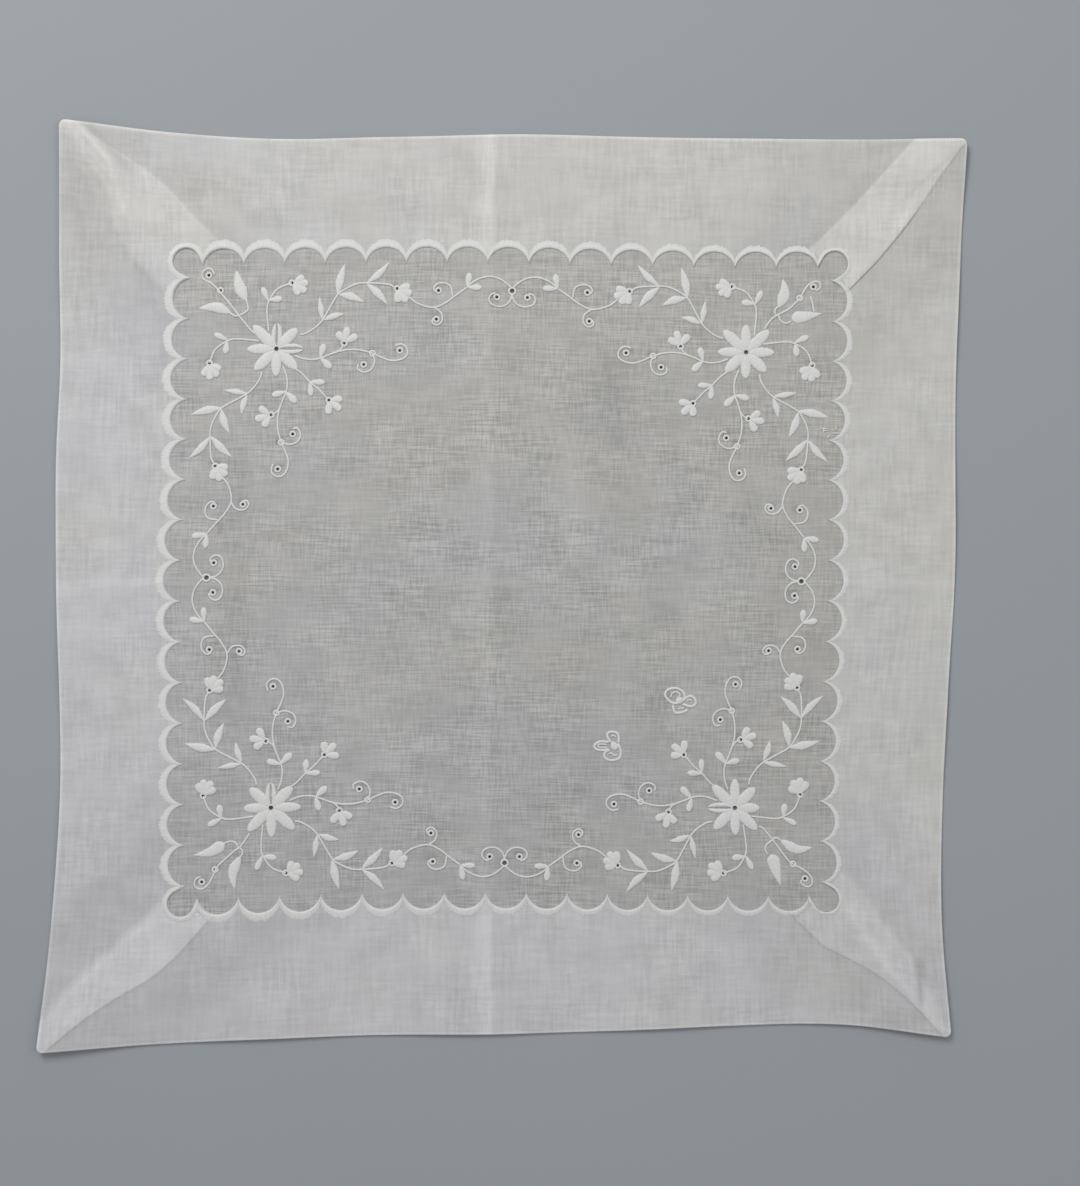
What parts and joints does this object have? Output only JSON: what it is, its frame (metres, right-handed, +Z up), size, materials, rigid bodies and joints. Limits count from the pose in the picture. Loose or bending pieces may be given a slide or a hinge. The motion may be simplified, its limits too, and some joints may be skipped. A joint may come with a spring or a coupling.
{
  "type": "linen handkerchief",
  "caption": "Square linen handkerchief lying open, with a thin field, a wide mitred hem and a scalloped satin-stitched inner edge, for carrying or display.",
  "frame": {"origin": "on the surface that the cloth lies on, under the middle of its outline box", "axes": "+Z up, out of the embroidered face; +Y towards the top edge in the picture, +X towards its right edge"},
  "size_m": [0.3078, 0.3088, 0.0039],
  "materials": {
    "linen": "matt sheer linen lawn with white satin stitch"
  },
  "bodies": {
    "root": {"linen_handkerchief": "linen"}
  },
  "joints": []
}
